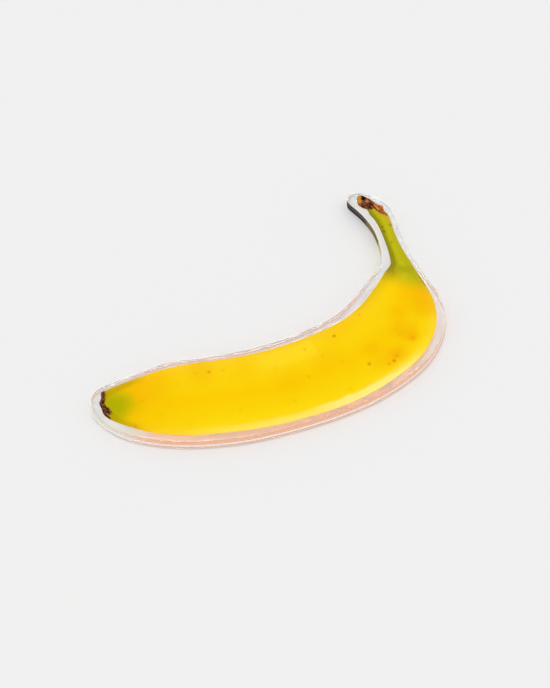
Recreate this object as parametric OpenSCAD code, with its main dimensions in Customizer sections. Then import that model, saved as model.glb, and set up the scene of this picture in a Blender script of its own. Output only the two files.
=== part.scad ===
// Free-standing acrylic block cut to the outline of a life-size banana, with the fruit
// printed on its upper face: clear body, white base, colour layer and gloss varnish.
// Resting face at Z = 0, +X along the long side, +Y towards the tip of the stem.

/* [Acrylic block] */
// Thickness of the clear sheet
block_t = 5; // [3:0.5:12]

/* [Printed layers] */
// Thickness of one printed layer
film_t = 0.1; // [0.05:0.05:0.3]
// How far the white base stops inside the edge of the colour
base_choke = 0.2; // [0:0.1:0.5]

/* [Whole object] */
// Size against the life-size banana
life_scale = 1; // [0.8:0.05:1.25]

/* [Hidden] */

// Straight steps between two neighbouring points of an outline
STEPS = 4;

// Both outlines run anticlockwise round the banana, in millimetres, starting at the blossom end.
// Each is a closed smooth curve through its points.
CUT_EDGE = [
    // blossom end
    [-74.4, -40.3], [-77, -43.7], [-77.9, -48], [-76.5, -53],
    // outer side of the curve
    [-72.3, -58.4], [-64, -64.2], [-52, -68], [-38, -69.6], [-24, -69], [-8, -66.6],
    [8, -62], [24, -56.2], [38, -49.8], [51, -41.9], [62, -32.8], [70.2, -23.6],
    [75.6, -13], [77.8, -2.5], [77.2, 6], [73.8, 15], [67.8, 25.3], [62, 37], [58, 48],
    // round the tip of the stem
    [56, 56], [53.2, 61.8], [48, 66.5], [42, 69.2], [38, 69.5], [35.2, 67.7], [34.9, 64.8],
    // inner side of the stem and the bend
    [37.6, 61.5], [42, 56.3], [46.4, 49], [49.2, 40], [50, 33.5], [48.8, 28], [44.6, 21.4],
    [38.6, 11.6], [30, 1.3], [19, -6.2],
    // inner side of the curve
    [6, -12.8], [-10, -18.6], [-28, -22.9], [-43, -25.3], [-55, -30.5], [-68, -36.7]
];
PRINT_EDGE = [
    // blossom end
    [-73.3, -42.5], [-73.4, -46], [-74.1, -48.6], [-73.1, -51.6], [-72.2, -54.6],
    // outer side of the fruit
    [-69.8, -57.1], [-65, -59.7], [-56, -63.3], [-46, -65.6], [-33, -66.1], [-20, -64.9],
    [-6, -62.8], [8, -59.3], [22, -54.4], [35, -48.8], [47, -41.5], [58, -32.5],
    [66.4, -23.5], [71.8, -13.2], [74.2, -2.4], [73.2, 7.8], [70.2, 15.8], [64.3, 27.8],
    [58.4, 39.8],
    // stem and its cut end
    [55.6, 47.8], [54.1, 53.8], [52.9, 57.2], [51.1, 59.8], [50.6, 62], [48, 63.2],
    [45, 65.9], [42, 67.7], [40, 68], [39.3, 65.8], [39.7, 62.9], [41.6, 61], [43.8, 59.9],
    // inner side of the stem and the neck
    [45, 57], [47, 54.2], [49, 49.9], [51.3, 43], [52.9, 37.2], [53.9, 32.2], [53.9, 28.9],
    [51.6, 24.9],
    // inner side of the fruit
    [47, 16.1], [40.4, 5.6], [31.6, -2.9], [18.4, -10.9], [2, -18.1], [-15, -23],
    [-34, -26.4], [-46, -29.6], [-56, -33.8], [-65, -38], [-71.2, -41.3]
];

// One point of a smooth span from b to c, where a and d are their outer neighbours
function span(a, b, c, d, t) =
    0.5 * (2 * b + (c - a) * t + (2 * a - 5 * b + 4 * c - d) * t * t
        + (3 * b - a - 3 * c + d) * t * t * t);

// All the points of the closed smooth curve through the list p
function smooth(p) = [
    for (i = [0 : len(p) - 1], k = [0 : STEPS - 1])
        span(p[(i + len(p) - 1) % len(p)], p[i], p[(i + 1) % len(p)],
            p[(i + 2) % len(p)], k / STEPS)
];

// Direction straight out of an anticlockwise outline at its point i
function outward(p, i) =
    let (along = p[(i + 1) % len(p)] - p[(i + len(p) - 1) % len(p)])
    [along[1], -along[0]] / norm(along);

// The outline moved outwards by the distance out, or inwards where that is negative
function grown(p, out) = [for (i = [0 : len(p) - 1]) p[i] + out * outward(p, i)];

// One printed layer, counted upwards from the face of the block
module film(level, out) {
    translate([0, 0, block_t + level * film_t])
        linear_extrude(film_t)
            scale(life_scale)
                polygon(grown(smooth(PRINT_EDGE), out));
}

module acrylic_block() {
    color([0.93, 0.96, 0.97, 0.3])
        linear_extrude(block_t)
            scale(life_scale)
                polygon(smooth(CUT_EDGE));
}

module white_base() {
    color([0.97, 0.93, 0.88]) film(0, -base_choke);
}

module colour_print() {
    color([0.98, 0.81, 0.04]) film(1, 0);
}

module gloss_varnish() {
    color([0.96, 0.97, 0.97, 0.2]) film(2, 0);
}

acrylic_block();
white_base();
colour_print();
gloss_varnish();
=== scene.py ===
"""The looks of a banana-shaped clear acrylic block with a printed face.

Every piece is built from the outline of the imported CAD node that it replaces. Lengths are in metres,
except in the lists of marks, which are in millimetres on the face. The print's pattern is laid out in
the fruit's own coordinates: u runs from 0 at the blossom end to 1 at the tip of the stem, and v from -1
on the outer side of the bend to 1 on the inner side.
"""

import math

import bpy
import numpy as np
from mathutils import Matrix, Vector
from mathutils.geometry import delaunay_2d_cdt


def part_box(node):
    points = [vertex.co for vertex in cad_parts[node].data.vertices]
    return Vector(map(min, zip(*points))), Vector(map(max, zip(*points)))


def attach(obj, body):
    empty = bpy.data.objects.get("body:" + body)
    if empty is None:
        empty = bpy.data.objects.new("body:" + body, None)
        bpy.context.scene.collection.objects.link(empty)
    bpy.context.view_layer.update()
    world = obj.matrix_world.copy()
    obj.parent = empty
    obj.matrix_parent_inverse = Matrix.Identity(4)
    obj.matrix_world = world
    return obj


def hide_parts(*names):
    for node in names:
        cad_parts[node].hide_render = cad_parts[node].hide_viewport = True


MM = 0.001
OUTLINE_STEP = 0.5 * MM     # length of one side of a smoothed outline
GRID_STEP = 2.0 * MM        # spacing of the points inside a printed layer
POLISH_TOP = 0.3 * MM       # radius of the polished upper edge of the block
POLISH_LOW = 0.9 * MM       # radius of the polished lower edge of the block
POLISH_SIDES = 5            # flat strips round one polished edge
WALL_MARGIN = 0.05 * MM     # strip of wall beside a polished edge, which keeps the rest of it flat
IRONING = 40                # rounds of smoothing of the cut outline
OVERLAP = 0.02 * MM         # how far a bonded face reaches into its neighbour
LAYER_GAP = 0.01 * MM       # kept between printed layers, because faces in one plane hide each other
FLOOR_GAP = 0.05 * MM       # air under the block, which lies on the floor without wetting it
SAME_HEIGHT = 1e-6          # corners closer in height than this lie in one face
SAME_POINT = 1e-7           # points closer than this are one point
ACRYLIC_IOR = 1.49
WHITE = (1.0, 1.0, 1.0, 1.0)

# ---------------------------------------------------------------- outlines from the frame


def signed_area(ring):
    after = np.roll(ring, -1, axis=0)
    return 0.5 * float(np.sum(ring[:, 0] * after[:, 1] - after[:, 0] * ring[:, 1]))


def top_outline(node):
    """The outer edge of a CAD node's upper face, anticlockwise, as an array of x and y."""
    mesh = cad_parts[node].data
    mesh.calc_loop_triangles()
    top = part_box(node)[1][2]
    spots = [tuple(round(c, 7) for c in v.co) for v in mesh.vertices]
    follows = {}
    for tri in mesh.loop_triangles:
        corners = [spots[i] for i in tri.vertices]
        if all(abs(c[2] - top) < SAME_HEIGHT for c in corners):
            for a, b in zip(corners, corners[1:] + corners[:1]):
                if follows.get(b, {}).pop(a, None) is None:
                    follows.setdefault(a, {})[b] = True
    start = here = min(spot for spot, after in follows.items() if after)
    ring = []
    while not ring or here != start:
        ring.append(here[:2])
        here = next(iter(follows[here]))
    ring = np.array(ring)
    return ring if signed_area(ring) > 0 else ring[::-1]


def smooth_closed(ring, step):
    """Points about one step apart on the smooth closed curve through an outline."""
    lengths = np.linalg.norm(np.roll(ring, -1, axis=0) - ring, axis=1)
    points = []
    for i, length in enumerate(lengths):
        a, b, c, d = (ring[(i + k) % len(ring)] for k in (-1, 0, 1, 2))
        count = max(1, round(float(length) / step))
        for t in np.arange(count) / count:
            points.append(0.5 * (2 * b + (c - a) * t + (2 * a - 5 * b + 4 * c - d) * t ** 2
                                 + (3 * b - a - 3 * c + d) * t ** 3))
    return np.array(points)


def averaged(ring, rounds):
    """A closed outline with each point moved towards its two neighbours, over and over."""
    for _ in range(rounds):
        ring = 0.25 * (np.roll(ring, 1, axis=0) + 2 * ring + np.roll(ring, -1, axis=0))
    return ring


def ironed(ring, rounds):
    """A closed outline without its small bends, which a polished wall magnifies.

    Averaging alone pulls the corners in, so what a second averaging takes away is given back.
    """
    once = averaged(ring, rounds)
    return 2 * once - averaged(once, rounds)


def inset(ring, distance):
    """An anticlockwise outline moved inwards."""
    along = np.roll(ring, -1, axis=0) - np.roll(ring, 1, axis=0)
    along /= np.linalg.norm(along, axis=1)[:, None]
    return ring + distance * np.stack([-along[:, 1], along[:, 0]], axis=1)


def inside(ring, points):
    """Which of the points lie inside an outline."""
    x, y = points[:, 0], points[:, 1]
    found = np.zeros(len(points), dtype=bool)
    for (x0, y0), (x1, y1) in zip(ring, np.roll(ring, -1, axis=0)):
        if y0 != y1:
            crosses = (y0 > y) != (y1 > y)
            found ^= crosses & (x < x0 + (y - y0) * (x1 - x0) / (y1 - y0))
    return found


# ---------------------------------------------------------------- the fruit's own coordinates


def run_along(line):
    """The distance of each point of an open line from its start."""
    return np.concatenate([[0.0], np.cumsum(np.linalg.norm(np.diff(line, axis=0), axis=1))])


def resampled(line, count):
    """Points evenly spaced along an open line."""
    run = run_along(line)
    at = np.linspace(0.0, run[-1], count)
    return np.stack([np.interp(at, run, line[:, k]) for k in (0, 1)], axis=1)


def softened(values, rounds):
    """An open row of values or points, smoothed in place between its two ends."""
    for _ in range(rounds):
        values[1:-1] = 0.25 * (values[:-2] + 2 * values[1:-1] + values[2:])
    return values


class Fruit:
    """The centre line of the printed banana and its half width, worked out from its outline."""

    STATIONS = 160          # points along the centre line
    SIDE_POINTS = 900       # points along each side, from which the line is found
    LINE_ROUNDS = 12        # times that the line is moved towards the middle
    LINE_SOFTENING = 6      # rounds of smoothing of the line, each time
    WIDTH_SOFTENING = 4     # rounds of smoothing of the half width
    LEAST_HALF = 1.5 * MM   # keeps v small at the two ends

    def __init__(self, ring):
        blossom, tip = int(np.argmin(ring[:, 0])), int(np.argmax(ring[:, 1]))
        ring = np.roll(ring, -blossom, axis=0)
        tip = (tip - blossom) % len(ring)
        outer = resampled(ring[:tip + 1], self.SIDE_POINTS)
        inner = resampled(np.concatenate([ring[tip:], ring[:1]])[::-1], self.SIDE_POINTS)
        line = 0.5 * (outer + inner)[:: self.SIDE_POINTS // self.STATIONS]
        for _ in range(self.LINE_ROUNDS):
            line = resampled(self.centred(line, outer, inner), self.STATIONS)
        self.line = line
        self.run = run_along(line)
        self.length = float(self.run[-1])
        half = 0.5 * (self.gaps(line, outer).min(axis=1) + self.gaps(line, inner).min(axis=1))
        self.half = softened(half, self.WIDTH_SOFTENING)

    @staticmethod
    def gaps(line, side):
        """The distance from every point of the line to every point of a side."""
        return np.linalg.norm(line[:, None] - side[None], axis=2)

    def centred(self, line, outer, inner):
        """The line moved halfway to the middle of the nearest points of the two sides."""
        near = [side[np.argmin(self.gaps(line, side), axis=1)] for side in (outer, inner)]
        moved = 0.5 * (line + 0.5 * (near[0] + near[1]))
        moved[0], moved[-1] = line[0], line[-1]
        return softened(moved, self.LINE_SOFTENING)

    def coordinates(self, points):
        """u from 0 to 1 and v from about -1 to 1 for each point."""
        starts, steps = self.line[:-1], np.diff(self.line, axis=0)
        sizes = np.linalg.norm(steps, axis=1)
        found = []
        for p in points:
            t = np.clip(np.sum((p - starts) * steps, axis=1) / sizes ** 2, 0, 1)
            gaps = np.linalg.norm(starts + t[:, None] * steps - p, axis=1)
            i = int(np.argmin(gaps))
            side = steps[i][0] * (p - starts[i])[1] - steps[i][1] * (p - starts[i])[0]
            u = (self.run[i] + t[i] * sizes[i]) / self.length
            half = float(np.interp(u * self.length, self.run, self.half))
            found.append((u, math.copysign(gaps[i], side) / max(half, self.LEAST_HALF)))
        return np.array(found)


# ---------------------------------------------------------------- meshes


def new_object(name, data):
    thing = bpy.data.objects.new(name, data)
    bpy.context.scene.collection.objects.link(thing)
    return thing


def lofted(name, rings, covered):
    """A closed solid through outlines of equal length, each given with its height, lowest first.

    The part of its upper face inside the covered outline uses the second material.
    """
    count = len(rings[0][0])
    points = [(x, y, z) for ring, z in rings for x, y in ring]
    faces = [tuple(reversed(range(count)))]
    for r in range(len(rings) - 1):
        low, high = r * count, (r + 1) * count
        for i in range(count):
            j = (i + 1) % count
            faces.append((low + i, low + j, high + j, high + i))
    edge, top = rings[-1]
    flat = [Vector(p) for p in np.concatenate([edge, covered])]
    loops = [list(range(count)), list(range(count, count + len(covered)))]
    cap, _, pieces, _, _, owners = delaunay_2d_cdt(flat, [], loops, 1, SAME_POINT)
    first = len(points) - count
    points += [(p[0], p[1], top) for p in cap[count:]]
    slots = [0] * len(faces) + [int(1 in owner) for owner in owners]
    smooth = [len(f) == 4 for f in faces] + [False] * len(pieces)
    faces += [tuple(first + i for i in piece) for piece in pieces]
    mesh = bpy.data.meshes.new(name)
    mesh.from_pydata(points, [], faces)
    mesh.polygons.foreach_set("use_smooth", smooth)
    mesh.polygons.foreach_set("material_index", slots)
    mesh.update()
    return new_object(name, mesh)


def printed_layer(name, ring, low, high, fruit):
    """A thin closed layer with a fine mesh, whose UV map holds the fruit's coordinates.

    Its upper face uses the first material, and its lower face and edge use the second.
    """
    x, y = (np.arange(ring[:, k].min(), ring[:, k].max(), GRID_STEP) for k in (0, 1))
    grid = np.stack(np.meshgrid(x, y), axis=-1).reshape(-1, 2)
    grid = grid[inside(inset(ring, 0.5 * GRID_STEP), grid)]
    flat = [Vector(p) for p in np.concatenate([ring, grid])]
    edges = [(i, (i + 1) % len(ring)) for i in range(len(ring))]
    points, _, faces, *_ = delaunay_2d_cdt(flat, edges, [list(range(len(ring)))], 1, SAME_POINT)
    count, rim = len(points), len(ring)
    solid = [(p[0], p[1], high) for p in points] + [(p[0], p[1], low) for p in points]
    upper = [tuple(f) for f in faces]
    lower = [tuple(count + i for i in reversed(f)) for f in faces]
    wall = [(count + i, count + (i + 1) % rim, (i + 1) % rim, i) for i in range(rim)]
    mesh = bpy.data.meshes.new(name)
    mesh.from_pydata(solid, [], upper + lower + wall)
    mesh.polygons.foreach_set("material_index", [0] * len(upper) + [1] * (len(lower) + len(wall)))
    at = fruit.coordinates(np.array([[p[0], p[1]] for p in points]))
    corner = np.zeros(len(mesh.loops), dtype=np.int32)
    mesh.loops.foreach_get("vertex_index", corner)
    uv = at[corner % count]
    uv[:, 1] = 0.5 + 0.5 * uv[:, 1]
    mesh.uv_layers.new(name="Fruit").data.foreach_set("uv", uv.astype(np.float32).ravel())
    mesh.update()
    return new_object(name, mesh)


# ---------------------------------------------------------------- material nodes


def srgb(red, green, blue):
    """A colour given as it looks on screen, from 0 to 255, in the linear values that nodes use."""
    def linear(c):
        c /= 255
        return c / 12.92 if c <= 0.04045 else ((c + 0.055) / 1.055) ** 2.4
    return (linear(red), linear(green), linear(blue), 1.0)


class Graph:
    """A short way to write a node material."""

    def __init__(self, name):
        self.material = bpy.data.materials.new(name)
        self.material.use_nodes = True
        self.tree = self.material.node_tree
        self.tree.nodes.clear()

    def add(self, kind, settings=None, **inputs):
        """A node with its settings, and inputs that are values or the sockets of other nodes."""
        node = self.tree.nodes.new(kind)
        for name, value in (settings or {}).items():
            setattr(node, name, value)
        for name, value in inputs.items():
            self.feed(node.inputs[name.replace("_", " ")], value)
        return node

    def feed(self, socket, value):
        if isinstance(value, bpy.types.NodeSocket):
            self.tree.links.new(value, socket)
        else:
            socket.default_value = value

    def feed_all(self, sockets, values):
        for socket, value in zip(sockets, values):
            self.feed(socket, value)

    def math(self, operation, *values, clamp=False):
        node = self.add("ShaderNodeMath", {"operation": operation, "use_clamp": clamp})
        self.feed_all(node.inputs, values)
        return node.outputs[0]

    def product(self, first, *others):
        """All the values multiplied together."""
        total = first
        for value in others:
            total = self.math("MULTIPLY", total, value)
        return total

    def swing(self, value, reach):
        """A value from 0 to 1 turned into one from -reach to reach."""
        return self.math("MULTIPLY_ADD", value, 2 * reach, -reach)

    def vector(self, operation, *values):
        node = self.add("ShaderNodeVectorMath", {"operation": operation})
        self.feed_all(node.inputs, values)
        return node.outputs[0]

    def measure(self, operation, *values):
        """The one number that a distance or a dot product gives."""
        node = self.add("ShaderNodeVectorMath", {"operation": operation})
        self.feed_all(node.inputs, values)
        return node.outputs["Value"]

    def parts(self, vector):
        """The X, Y and Z sockets of a vector."""
        node = self.add("ShaderNodeSeparateXYZ")
        self.feed(node.inputs[0], vector)
        return node.outputs

    def step(self, value, low, high, out_low=0.0, out_high=1.0):
        """A smooth change from out_low to out_high as value goes from low to high."""
        node = self.add("ShaderNodeMapRange", {"interpolation_type": "SMOOTHSTEP"})
        self.feed_all(node.inputs, (value, low, high, out_low, out_high))
        return node.outputs[0]

    def mix(self, factor, a, b, blend="MIX"):
        node = self.add("ShaderNodeMix", {"data_type": "RGBA", "blend_type": blend})
        self.feed(node.inputs[0], factor)
        self.feed(node.inputs[6], a)
        self.feed(node.inputs[7], b)
        return node.outputs[2]

    def ramp(self, factor, stops):
        """A colour ramp through (position, colour) pairs."""
        node = self.add("ShaderNodeValToRGB", Fac=factor)
        node.color_ramp.interpolation = "EASE"
        elements = node.color_ramp.elements
        elements.remove(elements[1])
        elements[0].position, elements[0].color = stops[0]
        for at, colour in stops[1:]:
            elements.new(at).color = colour
        return node.outputs["Color"]

    def noise(self, place, scale, detail=3.0, roughness=0.5, distortion=0.0):
        node = self.add("ShaderNodeTexNoise", Vector=place, Scale=scale, Detail=detail,
                        Roughness=roughness, Distortion=distortion)
        return node.outputs["Fac"]

    def object_place(self):
        return self.add("ShaderNodeTexCoord").outputs["Object"]

    def face_place(self):
        """The place in millimetres, with its height left out."""
        node = self.add("ShaderNodeVectorMath", {"operation": "SCALE"}, Scale=1 / MM)
        self.feed(node.inputs[0], self.object_place())
        return self.vector("MULTIPLY", node.outputs[0], (1.0, 1.0, 0.0))

    def jittered(self, place, scale, reach):
        """The place moved about by noise, which makes the edge of a mark ragged."""
        noise = self.add("ShaderNodeTexNoise", Vector=place, Scale=scale, Detail=3.0)
        moved = self.vector("MULTIPLY_ADD", noise.outputs["Color"], (2 * reach, 2 * reach, 0.0), place)
        return self.vector("SUBTRACT", moved, (reach, reach, 0.0))

    def near(self, place, centre, radius, soft):
        """1 where the place is nearer to the centre than the radius, and 0 further out."""
        apart = self.measure("DISTANCE", place, centre)
        return self.step(apart, radius * (1 - soft), radius * (1 + soft), 1.0, 0.0)

    def stroke(self, place, start, end, half_width, soft=0.4):
        """1 along a line between two points in the plane of the face, and 0 away from it."""
        run = (end[0] - start[0], end[1] - start[1], 0.0)
        size = run[0] ** 2 + run[1] ** 2
        from_start = self.vector("SUBTRACT", place, (*start, 0.0))
        along = self.measure("DOT_PRODUCT", from_start, (run[0] / size, run[1] / size, 0.0))
        share = self.math("ADD", along, 0.0, clamp=True)
        nearest = self.vector("MULTIPLY_ADD", share, run, (*start, 0.0))
        return self.near(place, nearest, half_width, soft)

    def facing(self):
        """1 on the side of a face that its normal points out of, and 0 on the other."""
        return self.math("SUBTRACT", 1.0, self.add("ShaderNodeNewGeometry").outputs["Backfacing"])

    def bump(self, height, strength, distance):
        node = self.add("ShaderNodeBump", Strength=strength, Distance=distance, Height=height)
        return node.outputs[0]

    def clear(self, colour=WHITE):
        return self.add("ShaderNodeBsdfTransparent", Color=colour)

    def shader_mix(self, factor, a, b):
        node = self.add("ShaderNodeMixShader")
        self.feed_all(node.inputs, (factor, a.outputs[0], b.outputs[0]))
        return node

    def finish(self, shader):
        output = self.add("ShaderNodeOutputMaterial")
        self.tree.links.new(shader.outputs[0], output.inputs["Surface"])
        return self.material


# ---------------------------------------------------------------- the clear block

CLEAR_TINT = (0.994, 0.998, 0.998, 1.0)
HIGHLIGHT_LINE_LOW = 1.3 * MM         # where the white line on the wall, a painted highlight, starts, from the floor up
HIGHLIGHT_LINE_HIGH = 2.5 * MM        # where the painted highlight line ends
HIGHLIGHT_LINE_BLUR = 0.2 * MM        # its soft border, inside those two
PAINTED_REFLECTION_COVER = 0.92         # how much of the wall the painted reflection of the print hides

# A painted reflection of the print's underside in the stem's inner wall, as strokes: start, end, half
# width, colour
PAINTED_WALL_REFLECTION = [
    ((48.6, 43), (50.1, 29), 1.5, srgb(202, 192, 130)),
    ((42.8, 55.4), (48.4, 44), 1.6, srgb(124, 106, 42)),
    ((34.6, 66.4), (42.4, 56), 1.8, srgb(56, 37, 43)),
]


def wall_picture(g, place):
    """A painted highlight line and a painted reflection on the outer side of the wall: how much of them
    shows, and their colour.
    """
    height = g.parts(place)["Z"]
    # The painted highlight: a white band along the wall between its two heights
    shown = g.product(g.step(height, HIGHLIGHT_LINE_LOW, HIGHLIGHT_LINE_LOW + HIGHLIGHT_LINE_BLUR),
                      g.step(height, HIGHLIGHT_LINE_HIGH, HIGHLIGHT_LINE_HIGH - HIGHLIGHT_LINE_BLUR))
    rough = g.jittered(g.face_place(), 0.9, 0.5)
    colour = WHITE
    # The painted reflection of the print's underside, as strokes on the stem's inner wall
    for start, end, half_width, ink in PAINTED_WALL_REFLECTION:
        mark = g.stroke(rough, start, end, half_width)
        colour = g.mix(mark, colour, ink)
        shown = g.math("MAXIMUM", shown, g.product(mark, PAINTED_REFLECTION_COVER))
    return shown, colour


def clear_acrylic():
    """Polished cast acrylic: clear, faintly cool, with fine vertical lines left on the cut wall, and a
    painted highlight line and a painted reflection on the wall.
    """
    g = Graph("clear_acrylic")
    place = g.object_place()
    stretched = g.add("ShaderNodeMapping", Vector=place, Scale=(1.0, 1.0, 0.03)).outputs[0]
    lines = g.noise(stretched, 2600.0, 2.0)
    haze = g.noise(place, 60.0)
    upright = g.parts(g.add("ShaderNodeNewGeometry").outputs["Normal"])["Z"]
    wall = g.step(g.math("ABSOLUTE", upright), 0.2, 0.8, 1.0, 0.0)
    body = g.add("ShaderNodeBsdfPrincipled", Base_Color=g.mix(haze, CLEAR_TINT, WHITE),
                 Normal=g.bump(lines, g.product(wall, 0.01), 0.02 * MM),
                 Roughness=g.step(haze, 0.3, 0.8, 0.0, 0.02), IOR=ACRYLIC_IOR,
                 Transmission_Weight=1.0)
    shown, colour = wall_picture(g, place)
    # The painted highlight line and painted reflection, as diffuse colour on the outer side of the wall
    painted_on_wall = g.add("ShaderNodeBsdfDiffuse", Color=colour)
    return g.finish(g.shader_mix(g.product(shown, wall, g.facing()), body, painted_on_wall))


def see_through(name):
    """For the faces between two bonded layers, which nothing shows of."""
    g = Graph(name)
    return g.finish(g.clear())


# ---------------------------------------------------------------- the print's pattern

INK = 0.96      # how much of the light falling on it the brightest ink gives back

LEMON = srgb(252, 216, 14)
GOLD = srgb(252, 203, 2)
WARM = srgb(248, 196, 2)
AMBER = srgb(249, 190, 2)
DEEP_AMBER = srgb(249, 189, 2)
MOTTLE = srgb(244, 186, 0)
ORANGE = srgb(246, 176, 4)
# The colour of a painted reflection of the light on the print
PAINTED_SHEEN_YELLOW = srgb(255, 222, 44)
PALE_BAND = srgb(255, 238, 130)
FIBRE = srgb(240, 184, 0)
FRESH_GREEN = srgb(194, 184, 4)
FULL_GREEN = srgb(166, 166, 6)
OLIVE = srgb(176, 150, 6)
NECK_SHADE = srgb(226, 190, 2)
GREEN = srgb(186, 180, 18)
DEEP_GREEN = srgb(146, 138, 22)
LIME = srgb(194, 190, 24)
SHOULDER = srgb(212, 176, 40)
COLLAR = srgb(176, 168, 20)
SCAR = srgb(170, 120, 20)
SPECK = srgb(96, 78, 20)
FLECK = srgb(222, 128, 16)
CHAR = srgb(26, 10, 8)
BARK = srgb(92, 52, 32)
RUST = srgb(168, 98, 62)
FLAP = srgb(226, 132, 54)
FLAP_SHADE = srgb(176, 92, 40)
OCHRE = srgb(216, 166, 40)
PITH = srgb(196, 124, 84)

# Colours across the fruit and across its stem, from the outer side of the bend to the inner side
BODY_STOPS = [
    (0.02, srgb(253, 222, 50)), (0.12, LEMON), (0.30, srgb(251, 210, 6)), (0.48, GOLD),
    (0.66, srgb(251, 209, 8)), (0.84, srgb(252, 211, 14)), (0.99, srgb(252, 206, 36)),
]
STEM_STOPS = [
    (0.03, srgb(196, 176, 30)), (0.16, GREEN), (0.42, LIME), (0.62, GREEN),
    (0.76, srgb(152, 144, 24)), (0.98, srgb(142, 128, 24)),
]
WOOD_STOPS = [(0.40, CHAR), (0.50, BARK), (0.62, RUST)]
DRIED_STOPS = [(0.44, CHAR), (0.53, BARK), (0.62, RUST)]

# Small brown marks on the skin: x and y in millimetres on the face, radius, strength
FLECKS = [
    (29, -11, 0.7, 0.9), (16, -18.5, 0.6, 0.5), (32.5, -24.8, 0.6, 0.6), (44.4, -26.5, 0.8, 0.8),
    (55.4, -24.8, 0.8, 0.85), (53.2, -26.5, 0.6, 0.7), (56.7, -22, 0.7, 0.7), (36, -40.4, 0.6, 0.5),
    (63.7, -12, 0.7, 0.6), (58, -10.3, 0.6, 0.5), (40, 1, 0.6, 0.5), (18, -33.5, 0.6, 0.6),
    (12, -47, 0.6, 0.4), (-26, -31, 0.8, 0.7), (-32, -32, 0.6, 0.5), (-55, -47, 0.6, 0.5),
    (-58, -61.3, 0.6, 0.7), (-71, -46, 0.4, 0.8), (-68.8, -47.4, 0.4, 0.7), (-66, -41, 0.6, 0.6),
    (-44, -50, 0.5, 0.4), (-12, -52, 0.5, 0.45), (3, -29, 0.5, 0.45), (-40, -38, 0.5, 0.5),
    (-47, -55, 0.5, 0.5), (-20, -30, 0.6, 0.5), (65, -4, 0.5, 0.45), (24, -22, 0.5, 0.4),
    (-5, -40, 0.5, 0.35), (50, -9, 0.5, 0.4), (-62, -55, 0.5, 0.5), (-34, -60, 0.5, 0.4),
]

# Dark specks on the stem: x, y, radius, strength
STEM_SPECKS = [
    (50.5, 50.4, 0.5, 0.7), (51.2, 47.8, 0.6, 0.7), (54.6, 41.7, 0.5, 0.6), (54.1, 51.5, 0.6, 0.6),
    (52.6, 36, 0.4, 0.4), (55, 34, 0.5, 0.3), (49, 54, 0.4, 0.4),
]

# Soft darker areas of the ripening skin: x, y, radius, strength
CLOUDS = [
    (56, -21, 4.5, 0.75), (63, -11, 3, 0.7), (59, -8, 4.5, 0.5), (70, 6, 6, 0.6), (66, 14, 6, 0.5),
    (46, -18, 4, 0.4), (-60, -44, 7, 0.4), (-50, -38, 8, 0.3), (-30, -31, 6, 0.35),
    (57, 2, 4, 0.35), (24, -24, 6, 0.2), (50, -26, 4, 0.35), (10, -36, 6, 0.2), (-10, -30, 5, 0.2),
]

# The dried skin at the blossom end: start, end, half width
DRIED = [
    ((-73.3, -41.8), (-72.6, -43.8), 1.3), ((-72.8, -43.6), (-72.9, -46.4), 1.1),
    ((-72.9, -46.4), (-73.2, -49), 1.4), ((-73, -49), (-72.3, -52.5), 1.0),
    ((-72.3, -52.5), (-71.4, -54.8), 1.0), ((-71.4, -54.8), (-69.6, -56.8), 0.7),
    ((-72, -49.8), (-70.6, -51.2), 0.6), ((-70.5, -51.8), (-69.6, -53.8), 1.1),
]

# Marks on the neck and on the cut end of the stem: start, end, half width
COLLAR_LINES = [((57, 26.4), (65, 26.4), 1.6)]
SCAR_LINES = [((66.4, 24), (69.4, 17.5), 0.5), ((54.4, 30.2), (55.4, 30.2), 0.6)]
FLAP_LINES = [((45.6, 64.6), (51.4, 58.6), 1.9)]
DARK_WOOD = [
    ((41.9, 67), (45.6, 63.6), 1.3), ((41.2, 62.8), (45, 61.4), 1.5), ((42.6, 65.4), (43.6, 62), 1.7),
    ((46, 62.6), (48, 59.8), 0.5), ((48, 59.8), (52.4, 57.2), 0.5), ((46.8, 63.6), (50.4, 60), 0.28),
]
PALE_WOOD = [((40.1, 67.6), (40.3, 63.9), 0.8)]


def fruit_place(g):
    """Sockets with u, v and the place on the face."""
    uv = g.parts(g.add("ShaderNodeUVMap", {"uv_map": "Fruit"}).outputs[0])
    return uv["X"], g.swing(uv["Y"], 1.0), g.face_place()


class Skin:
    """The sockets that the parts of the pattern share."""

    def __init__(self, g):
        self.u, self.v, self.place = fruit_place(g)
        self.ragged = g.jittered(self.place, 0.7, 0.9)
        self.soft = g.jittered(self.place, 0.12, 3.0)
        self.crisp = g.jittered(self.place, 1.4, 0.5)
        self.fine = g.noise(self.place, 0.9, 4.0, 0.6)
        self.wander = g.swing(g.noise(self.place, 0.16, 2.0), 0.05)
        self.across = g.math("ADD", self.v, self.wander)
        stretched = g.add("ShaderNodeCombineXYZ", X=g.product(self.u, 9.0), Y=g.product(self.v, 26.0),
                          Z=0.0).outputs[0]
        self.fibre = g.noise(stretched, 1.0, 3.0, 0.6)


def ramp_across(g, skin, stops):
    """Colours from the outer side of the bend to the inner side."""
    return g.ramp(g.math("MULTIPLY_ADD", skin.across, 0.5, 0.5), stops)


def marked(g, colour, place, lines, ink):
    """The colour with some strokes of another ink over it."""
    for start, end, half_width in lines:
        colour = g.mix(g.stroke(place, start, end, half_width), colour, ink)
    return colour


def dotted(g, colour, place, spots, ink, soft):
    """The colour with some round spots of another ink over it."""
    for x, y, radius, strength in spots:
        spot = g.near(place, (x, y, 0.0), radius, soft)
        colour = g.mix(g.product(spot, strength), colour, ink)
    return colour


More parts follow.
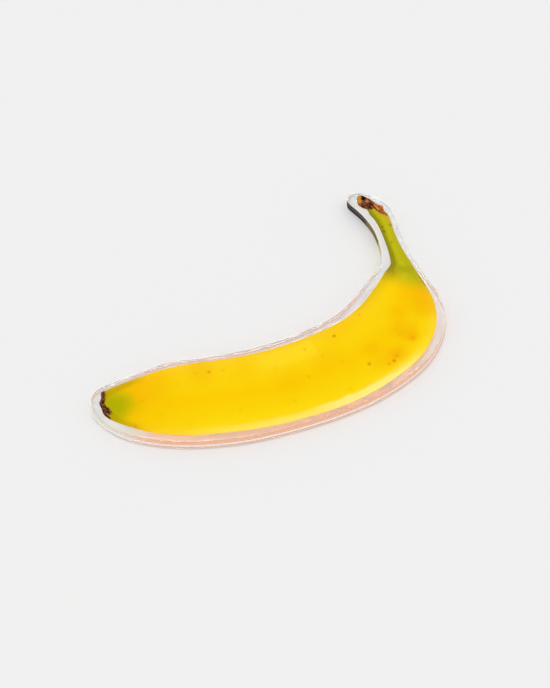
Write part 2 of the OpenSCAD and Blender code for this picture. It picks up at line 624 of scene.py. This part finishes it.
def yellow_skin(g, skin):
    """Lemon on the outer side, gold in the middle, amber and mottled towards both ends."""
    colour = ramp_across(g, skin, BODY_STOPS)
    left = g.step(g.math("ADD", skin.u, g.product(skin.wander, 0.4)), 0.05, 0.22, 0.8, 0.0)
    right = g.product(g.step(skin.u, 0.64, 0.74, 0.0, 0.5), g.step(skin.across, 0.55, -0.55, 0.10, 1.0))
    colour = g.mix(left, colour, WARM)
    colour = g.mix(right, colour, DEEP_AMBER)
    colour = g.mix(g.step(g.noise(skin.place, 0.045), 0.50, 0.72, 0.0, 0.30), colour, AMBER)
    colour = g.mix(g.step(skin.fine, 0.50, 0.78, 0.0, 0.30), colour, MOTTLE)
    return dotted(g, colour, skin.soft, CLOUDS, ORANGE, 0.8)


def highlights(g, skin, colour):
    """A painted reflection as a soft light patch by the inner edge, the printed bright facet by the outer
    edge, and faint fibres.
    """
    u, across = skin.u, skin.across
    # Painted reflection: a soft light patch by the inner edge
    painted_sheen = g.product(g.step(across, 0.35, 0.60), g.step(across, 0.96, 0.84),
                      g.step(u, 0.30, 0.38), g.step(u, 0.478, 0.470), 0.5)
    colour = g.mix(painted_sheen, colour, PAINTED_SHEEN_YELLOW)
    border = g.math("ADD", across, g.step(u, 0.46, 0.66, 0.0, 0.12))
    firm = g.product(g.step(border, -0.775, -0.835), g.step(u, 0.36, 0.47))
    weak = g.product(g.step(across, -0.72, -0.98), g.step(u, 0.12, 0.40, 0.0, 0.6))
    facet = g.product(g.math("MAXIMUM", firm, weak), g.step(u, 0.640, 0.575), 0.9)
    colour = g.mix(facet, colour, PALE_BAND)
    return g.mix(g.step(skin.fibre, 0.45, 0.75, 0.0, 0.10), colour, FIBRE)


def unripe_ends(g, skin, colour):
    """Green at the blossom end, olive along its edges, and a darker yellow edge under the neck."""
    colour = dotted(g, colour, skin.soft, [(-69, -51, 9.0, 0.95)], FRESH_GREEN, 0.7)
    colour = dotted(g, colour, skin.soft, [(-67, -49.5, 5.5, 0.7)], FULL_GREEN, 0.9)
    edge = g.product(g.step(skin.u, 0.11, 0.05), g.step(g.math("ABSOLUTE", skin.across), 0.72, 1.0), 0.6)
    colour = g.mix(edge, colour, OLIVE)
    shade = g.product(g.stroke(skin.soft, (40, 8), (52, 25), 4.0, 0.7), 0.7)
    return g.mix(shade, colour, NECK_SHADE)


def green_stem(g, skin, colour):
    """The stem: a darker inner edge, lime along the middle, ochre on the outer shoulder."""
    place = g.math("ADD", skin.u, g.swing(skin.fine, 0.015))
    neck = g.step(g.math("ADD", place, g.product(skin.v, -0.016)), 0.735, 0.790)
    stem = ramp_across(g, skin, STEM_STOPS)
    stem = g.mix(g.step(skin.fibre, 0.46, 0.70, 0.0, 0.45), stem, DEEP_GREEN)
    stem = g.mix(g.step(skin.fine, 0.50, 0.74, 0.0, 0.35), stem, DEEP_GREEN)
    shoulder = g.product(g.step(skin.u, 0.86, 0.95), g.step(skin.across, 0.0, -0.8), 0.75)
    colour = g.mix(neck, colour, g.mix(shoulder, stem, SHOULDER))
    colour = marked(g, colour, skin.soft, COLLAR_LINES, COLLAR)
    return marked(g, colour, skin.ragged, SCAR_LINES, SCAR)


def small_marks(g, skin, colour):
    colour = dotted(g, colour, skin.crisp, FLECKS, FLECK, 0.7)
    return dotted(g, colour, skin.crisp, STEM_SPECKS, SPECK, 0.7)


def brown_ends(g, skin, colour):
    """The cut end of the stem, with a loose flap of skin, and the dried blossom end."""
    bark = g.noise(skin.place, 0.75, 4.0, 0.65, 0.8)
    wood = g.ramp(bark, WOOD_STOPS)
    tilt = g.math("MULTIPLY_ADD", skin.fine, 0.010, g.product(skin.v, 0.006))
    colour = g.mix(g.step(g.math("ADD", skin.u, tilt), 0.968, 0.974), colour, wood)
    flap = g.mix(g.step(bark, 0.40, 0.60), FLAP_SHADE, FLAP)
    colour = marked(g, colour, skin.ragged, FLAP_LINES, flap)
    colour = marked(g, colour, skin.ragged, DARK_WOOD, wood)
    colour = marked(g, colour, skin.ragged, PALE_WOOD, g.mix(bark, RUST, OCHRE))
    colour = dotted(g, colour, skin.ragged, [(43.8, 65, 0.7, 1.0)], PITH, 0.6)
    veins = g.noise(skin.place, 1.1, 4.0, 0.65, 0.8)
    return marked(g, colour, skin.crisp, DRIED, g.ramp(veins, DRIED_STOPS))


def fruit_colour(g, skin):
    """The colour socket of the printed banana."""
    colour = yellow_skin(g, skin)
    for detail in (highlights, unripe_ends, green_stem, small_marks, brown_ends):
        colour = detail(g, skin, colour)
    return g.mix(1.0, colour, (INK, INK, INK, 1.0), "MULTIPLY")


# ---------------------------------------------------------------- inks, varnish and floor

GLOW = (0.98, 0.96, 0.94, 1.0)      # what the colour ink lets down into the block
PEACH = srgb(255, 222, 204)
DEEP_PEACH = srgb(252, 212, 188)
PALE_END = srgb(236, 228, 206)
THROUGH_BODY = srgb(250, 162, 84)   # what comes straight through the white ink under the fruit
THROUGH_ENDS = srgb(240, 236, 230)  # and under its two ends
STRAIGHT = 0.55                     # share of the light that comes straight through the white ink
SCATTERED = 0.88                    # share of the rest that comes through scattered
FLOOR_DARK = (0.80, 0.80, 0.80, 1.0)
FLOOR_LIGHT = (0.83, 0.83, 0.83, 1.0)


def colour_ink():
    """Cured ink that lets some light down into the block."""
    g = Graph("colour_ink")
    skin = Skin(g)
    front = g.add("ShaderNodeBsdfPrincipled", Base_Color=fruit_colour(g, skin),
                  Normal=g.bump(skin.fibre, 0.08, 0.01 * MM),
                  Roughness=g.step(skin.fine, 0.3, 0.7, 0.38, 0.52))
    front.inputs["Specular IOR Level"].default_value = 0.0
    return g.finish(g.shader_mix(g.facing(), g.clear(GLOW), front))


def white_ink():
    """The underside of the print: thin white ink that daylight and the colours above come through."""
    g = Graph("white_ink")
    u, _, place = fruit_place(g)
    grain = g.noise(place, 0.8)
    ends = g.math("ADD", g.step(u, 0.04, 0.12, 1.0, 0.0), g.step(u, 0.70, 0.78), clamp=True)
    body = g.mix(g.step(grain, 0.35, 0.70, 0.0, 0.25), PEACH, DEEP_PEACH)
    colour = g.mix(ends, body, PALE_END)
    face = g.add("ShaderNodeBsdfPrincipled", Base_Color=colour,
                 Normal=g.bump(grain, 0.05, 0.01 * MM), Roughness=g.step(grain, 0.3, 0.7, 0.55, 0.7))
    glow = g.add("ShaderNodeBsdfTranslucent", Color=colour)
    straight = g.clear(g.mix(ends, THROUGH_BODY, THROUGH_ENDS))
    return g.finish(g.shader_mix(STRAIGHT, g.shader_mix(SCATTERED, face, glow), straight))


def clear_varnish():
    """Gloss varnish: clear, with the faint orange peel of a sprayed coat."""
    g = Graph("clear_varnish")
    place = g.object_place()
    peel = g.bump(g.noise(place, 420.0, 2.0), 0.06, 0.02 * MM)
    shine = g.add("ShaderNodeBsdfGlossy", Normal=peel,
                  Roughness=g.step(g.noise(place, 90.0), 0.3, 0.7, 0.07, 0.13))
    fresnel = g.add("ShaderNodeFresnel", IOR=ACRYLIC_IOR, Normal=peel).outputs[0]
    share = g.product(g.step(fresnel, 0.045, 0.60, 0.002, 0.42), g.facing())
    return g.finish(g.shader_mix(share, g.clear(), shine))


def pale_floor():
    g = Graph("pale_floor")
    grain = g.noise(g.object_place(), 900.0)
    return g.finish(g.add("ShaderNodeBsdfPrincipled", Base_Color=g.mix(grain, FLOOR_DARK, FLOOR_LIGHT),
                          Roughness=g.step(grain, 0.3, 0.7, 0.55, 0.65)))


# ---------------------------------------------------------------- the pieces


def place_piece(piece, node, materials):
    for material in materials:
        piece.data.materials.append(material)
    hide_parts(node)
    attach(piece, "root")


def block_profile(low, high):
    """How far in and how high each ring of the block's wall lies, from the floor upwards."""
    turn = np.linspace(0.0, math.pi / 2, POLISH_SIDES + 1)
    foot = [(POLISH_LOW * (1 - math.sin(t)), low + POLISH_LOW * (1 - math.cos(t))) for t in turn]
    wall = [(0.0, low + POLISH_LOW + WALL_MARGIN), (0.0, high - POLISH_TOP - WALL_MARGIN)]
    brow = [(POLISH_TOP * (1 - math.cos(t)), high - POLISH_TOP * (1 - math.sin(t))) for t in turn]
    return foot + wall + brow


def make_block(base_outline, hidden):
    low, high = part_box("acrylic_block")
    edge = ironed(smooth_closed(top_outline("acrylic_block"), OUTLINE_STEP), IRONING)
    rings = [(inset(edge, back), z) for back, z in block_profile(low.z, high.z + OVERLAP)]
    block = lofted("clear_block", rings, base_outline)
    place_piece(block, "acrylic_block", (clear_acrylic(), hidden))


def make_print(base_outline, hidden):
    outline = smooth_closed(top_outline("colour_print"), OUTLINE_STEP)
    fruit = Fruit(outline)
    layers = [
        ("underside_ink", "white_base", "white_ink", base_outline, (hidden, white_ink())),
        ("printed_fruit", "colour_print", "colour_ink", outline, (colour_ink(), hidden)),
        ("varnish_coat", "gloss_varnish", "clear_varnish", outline, (clear_varnish(), hidden)),
    ]
    for name, node, slot, ring, materials in layers:
        low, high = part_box(node)
        layer = printed_layer(name, ring, low.z, high.z - LAYER_GAP, fruit)
        place_piece(layer, node, materials)


# ---------------------------------------------------------------- floor, light and camera

FLOOR_HALF = 6.0                    # half the side of the floor
SKY_TONE = (0.995, 0.995, 1.0, 1.0)
SKY_STRENGTH = 0.80
KEY_TONE = (1.0, 0.99, 0.97)
KEY_STRENGTH = 0.86
KEY_SPREAD = math.radians(12)
KEY_AZIMUTH = math.radians(-25)     # 0 is behind the object, and it grows to the right
KEY_ELEVATION = math.radians(83)

LENS_DISTANCE = 8.0                 # from the camera to the object: far enough for parallel sides
ELEVATION = math.radians(52)
FIELD = 302.7 * MM                  # height of what the camera sees at the object
AIM = (3.0 * MM, -15.3 * MM, 5.0 * MM)
SENSOR = 36.0


def aim(thing, target):
    away = Vector(thing.location) - Vector(target)
    thing.rotation_euler = away.to_track_quat("Z", "Y").to_euler()


def make_floor():
    side, level = FLOOR_HALF, -FLOOR_GAP
    corners = [(-side, -side, level), (side, -side, level), (side, side, level), (-side, side, level)]
    mesh = bpy.data.meshes.new("floor")
    mesh.from_pydata(corners, [], [(0, 1, 2, 3)])
    mesh.materials.append(pale_floor())
    new_object("floor", mesh)


def make_light():
    """An even sky, and one soft sun from high up."""
    world = bpy.data.worlds.new("studio")
    world.use_nodes = True
    sky = world.node_tree.nodes["Background"]
    sky.inputs["Color"].default_value = SKY_TONE
    sky.inputs["Strength"].default_value = SKY_STRENGTH
    bpy.context.scene.world = world
    sun = bpy.data.lights.new("key", "SUN")
    sun.energy, sun.angle, sun.color = KEY_STRENGTH, KEY_SPREAD, KEY_TONE
    key = new_object("key", sun)
    level = math.cos(KEY_ELEVATION)
    key.location = (math.sin(KEY_AZIMUTH) * level, math.cos(KEY_AZIMUTH) * level, math.sin(KEY_ELEVATION))
    aim(key, (0, 0, 0))


def make_camera():
    lens = bpy.data.cameras.new("camera")
    lens.sensor_width = SENSOR
    lens.lens = SENSOR * LENS_DISTANCE / FIELD
    camera = new_object("camera", lens)
    back = Vector((0, -math.cos(ELEVATION), math.sin(ELEVATION)))
    camera.location = Vector(AIM) + LENS_DISTANCE * back
    aim(camera, AIM)
    bpy.context.scene.camera = camera


def set_quality():
    """Enough light bounces for the clear block. The renderer's engine and samples aren't set here."""
    scene = bpy.context.scene
    scene.view_settings.view_transform = "Standard"
    cycles = scene.cycles
    cycles.max_bounces = cycles.transmission_bounces = cycles.transparent_max_bounces = 20
    cycles.glossy_bounces = 10
    cycles.diffuse_bounces = 6
    cycles.blur_glossy = 0.3
    cycles.sample_clamp_indirect = 0.0


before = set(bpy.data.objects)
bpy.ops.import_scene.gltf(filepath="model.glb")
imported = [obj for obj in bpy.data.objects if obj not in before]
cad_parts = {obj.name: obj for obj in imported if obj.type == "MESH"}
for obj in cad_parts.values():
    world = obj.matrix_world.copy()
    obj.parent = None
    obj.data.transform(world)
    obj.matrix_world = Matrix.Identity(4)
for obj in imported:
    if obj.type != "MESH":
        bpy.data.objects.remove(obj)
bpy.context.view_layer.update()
make_camera()
inked = smooth_closed(top_outline("white_base"), OUTLINE_STEP)
bonded = see_through("bonded_face")
make_block(inked, bonded)
make_print(inked, bonded)
make_floor()
make_light()
set_quality()
